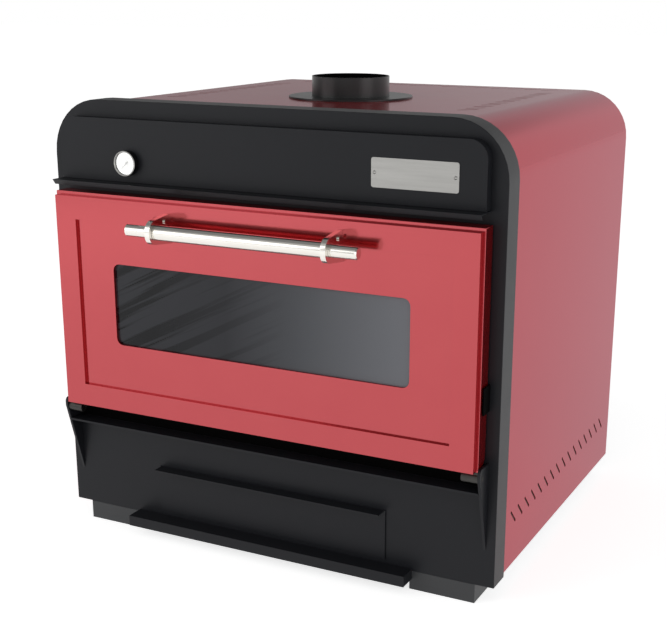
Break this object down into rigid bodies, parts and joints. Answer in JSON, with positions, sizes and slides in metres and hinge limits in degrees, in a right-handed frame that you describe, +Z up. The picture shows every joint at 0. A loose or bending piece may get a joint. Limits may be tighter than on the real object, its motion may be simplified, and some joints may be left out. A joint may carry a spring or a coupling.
{
  "type": "charcoal oven",
  "caption": "Insulated charcoal oven with a drop-down windowed door, sliding grills, an ash drawer, a flue collar and a dial thermometer, standing on skid feet.",
  "frame": {"origin": "centre of the bounding box's bottom face, on the surface that the feet stand on", "axes": "+Z up, -Y out of the front where the door is, +X to the right as seen from the front"},
  "size_m": [0.9, 0.844, 0.8737],
  "materials": {
    "red_enamel": "satin red enamel",
    "black_enamel": "satin black enamel",
    "grey_enamel": "satin dark grey enamel",
    "white_enamel": "matt white enamel",
    "brushed_steel": "brushed stainless steel",
    "polished_steel": "polished stainless steel",
    "stainless": "mill-finish stainless steel",
    "dark_steel": "blackened steel",
    "raw_steel": "heat-browned sheet steel",
    "galvanised": "galvanised sheet steel",
    "cast_iron": "raw sand-cast iron",
    "ceramic_wool": "pressed ceramic wool",
    "woven_seal": "woven glass-fibre tape",
    "glass": "smoky heat-proof glass"
  },
  "bodies": {
    "oven_body": {"front_frame": "black_enamel", "casing": "red_enamel", "rear_panel": "black_enamel", "base_plate": "galvanised", "foot_left": "grey_enamel", "foot_right": "grey_enamel", "firebox": "raw_steel", "insulation_wrap": "ceramic_wool", "insulation_rear": "ceramic_wool", "charcoal_grate": "cast_iron", "rack_runner_left": "stainless", "rack_runner_right": "stainless", "flue_collar": "black_enamel", "flue_flange": "black_enamel", "fascia_panel": "black_enamel", "drip_ledge": "black_enamel", "nameplate": "brushed_steel", "nameplate_rivet_left": "brushed_steel", "nameplate_rivet_right": "brushed_steel", "thermometer_case": "black_enamel", "thermometer_bezel": "stainless", "thermometer_dial": "white_enamel", "thermometer_lens": "glass", "thermometer_stem": "stainless", "hinge_pin_left": "brushed_steel", "hinge_pin_right": "brushed_steel", "gusset_left": "black_enamel", "gusset_right": "black_enamel", "catch_keeper_left": "black_enamel", "catch_keeper_right": "black_enamel", "sill_shelf": "black_enamel", "drawer_guide_left": "galvanised", "drawer_guide_right": "galvanised", "ash_lip": "black_enamel"},
    "door": {"door_skin": "red_enamel", "door_pan": "red_enamel", "door_inner_frame": "black_enamel", "door_insulation": "ceramic_wool", "door_liner": "stainless", "liner_insulation": "ceramic_wool", "door_seal": "woven_seal", "door_glass_outer": "glass", "door_glass_inner": "glass", "window_lining": "ceramic_wool", "handle_bracket_left": "polished_steel", "handle_bracket_right": "polished_steel", "bracket_screw_left": "stainless", "bracket_screw_right": "stainless", "handle_rod": "polished_steel", "handle_sleeve": "polished_steel", "hinge_barrel_left": "brushed_steel", "hinge_barrel_right": "brushed_steel"},
    "ash_drawer": {"ash_drawer_front": "black_enamel", "ash_drawer_tray": "galvanised"},
    "lower_grill": {"grill_lower": "stainless"},
    "upper_grill": {"grill_upper": "stainless"},
    "needle": {"thermometer_needle": "dark_steel"}
  },
  "joints": [
    {"name": "door_hinge", "type": "hinge", "parent": "oven_body", "child": "door", "pos_m": [0, -0.344, 0.248], "axis": [1, 0, 0], "range_deg": [0, 90]},
    {"name": "ash_drawer_slide", "type": "slide", "parent": "oven_body", "child": "ash_drawer", "axis": [0, -1, 0], "range_m": [0, 0.35]},
    {"name": "lower_grill_slide", "type": "slide", "parent": "oven_body", "child": "lower_grill", "axis": [0, -1, 0], "range_m": [0, 0.2]},
    {"name": "upper_grill_slide", "type": "slide", "parent": "oven_body", "child": "upper_grill", "axis": [0, -1, 0], "range_m": [0, 0.2]},
    {"name": "needle_pivot", "type": "hinge", "parent": "oven_body", "child": "needle", "pos_m": [-0.27, -0.3408, 0.7306], "axis": [0, 1, 0], "range_deg": [0, 270], "stiffness_Nm_per_rad": 0.001}
  ],
  "couplings": [
    {"joint": "lower_grill_slide", "follows": "door_hinge", "m_per_rad": 0.1273},
    {"joint": "upper_grill_slide", "follows": "door_hinge", "m_per_rad": 0.1273}
  ]
}
